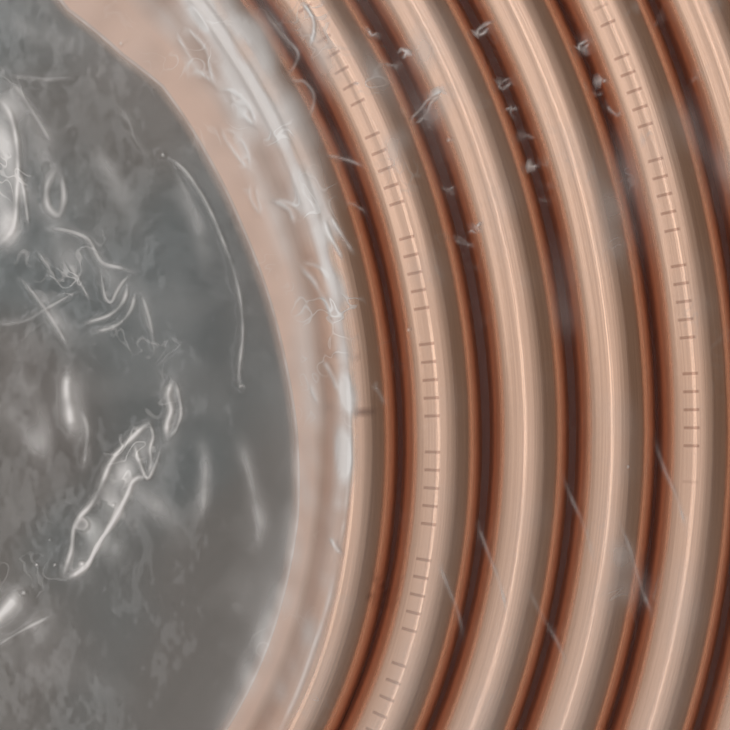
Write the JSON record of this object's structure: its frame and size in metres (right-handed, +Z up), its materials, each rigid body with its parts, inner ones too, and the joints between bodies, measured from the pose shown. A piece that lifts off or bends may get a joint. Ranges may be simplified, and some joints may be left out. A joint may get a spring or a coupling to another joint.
{
  "type": "copper tube coil",
  "caption": "Flat coil of bright soft copper tube wound in one layer, shrink-wrapped in clear film that also closes the bore of the coil.",
  "frame": {"origin": "on the floor under the centre that the outermost half turn is wound about", "axes": "+Z up along the axis that the tube is wound about, and both cut ends of the tube lie on the -X side"},
  "size_m": [0.6294, 0.6294, 0.0171],
  "materials": {
    "bright_copper": "bright drawn soft copper with fine lengthwise drawing lines",
    "clear_film": "thin clear shrink film, glossy, with small wrinkles"
  },
  "bodies": {
    "root": {"copper_tube": "bright_copper", "film_wrap": "clear_film"}
  },
  "joints": []
}
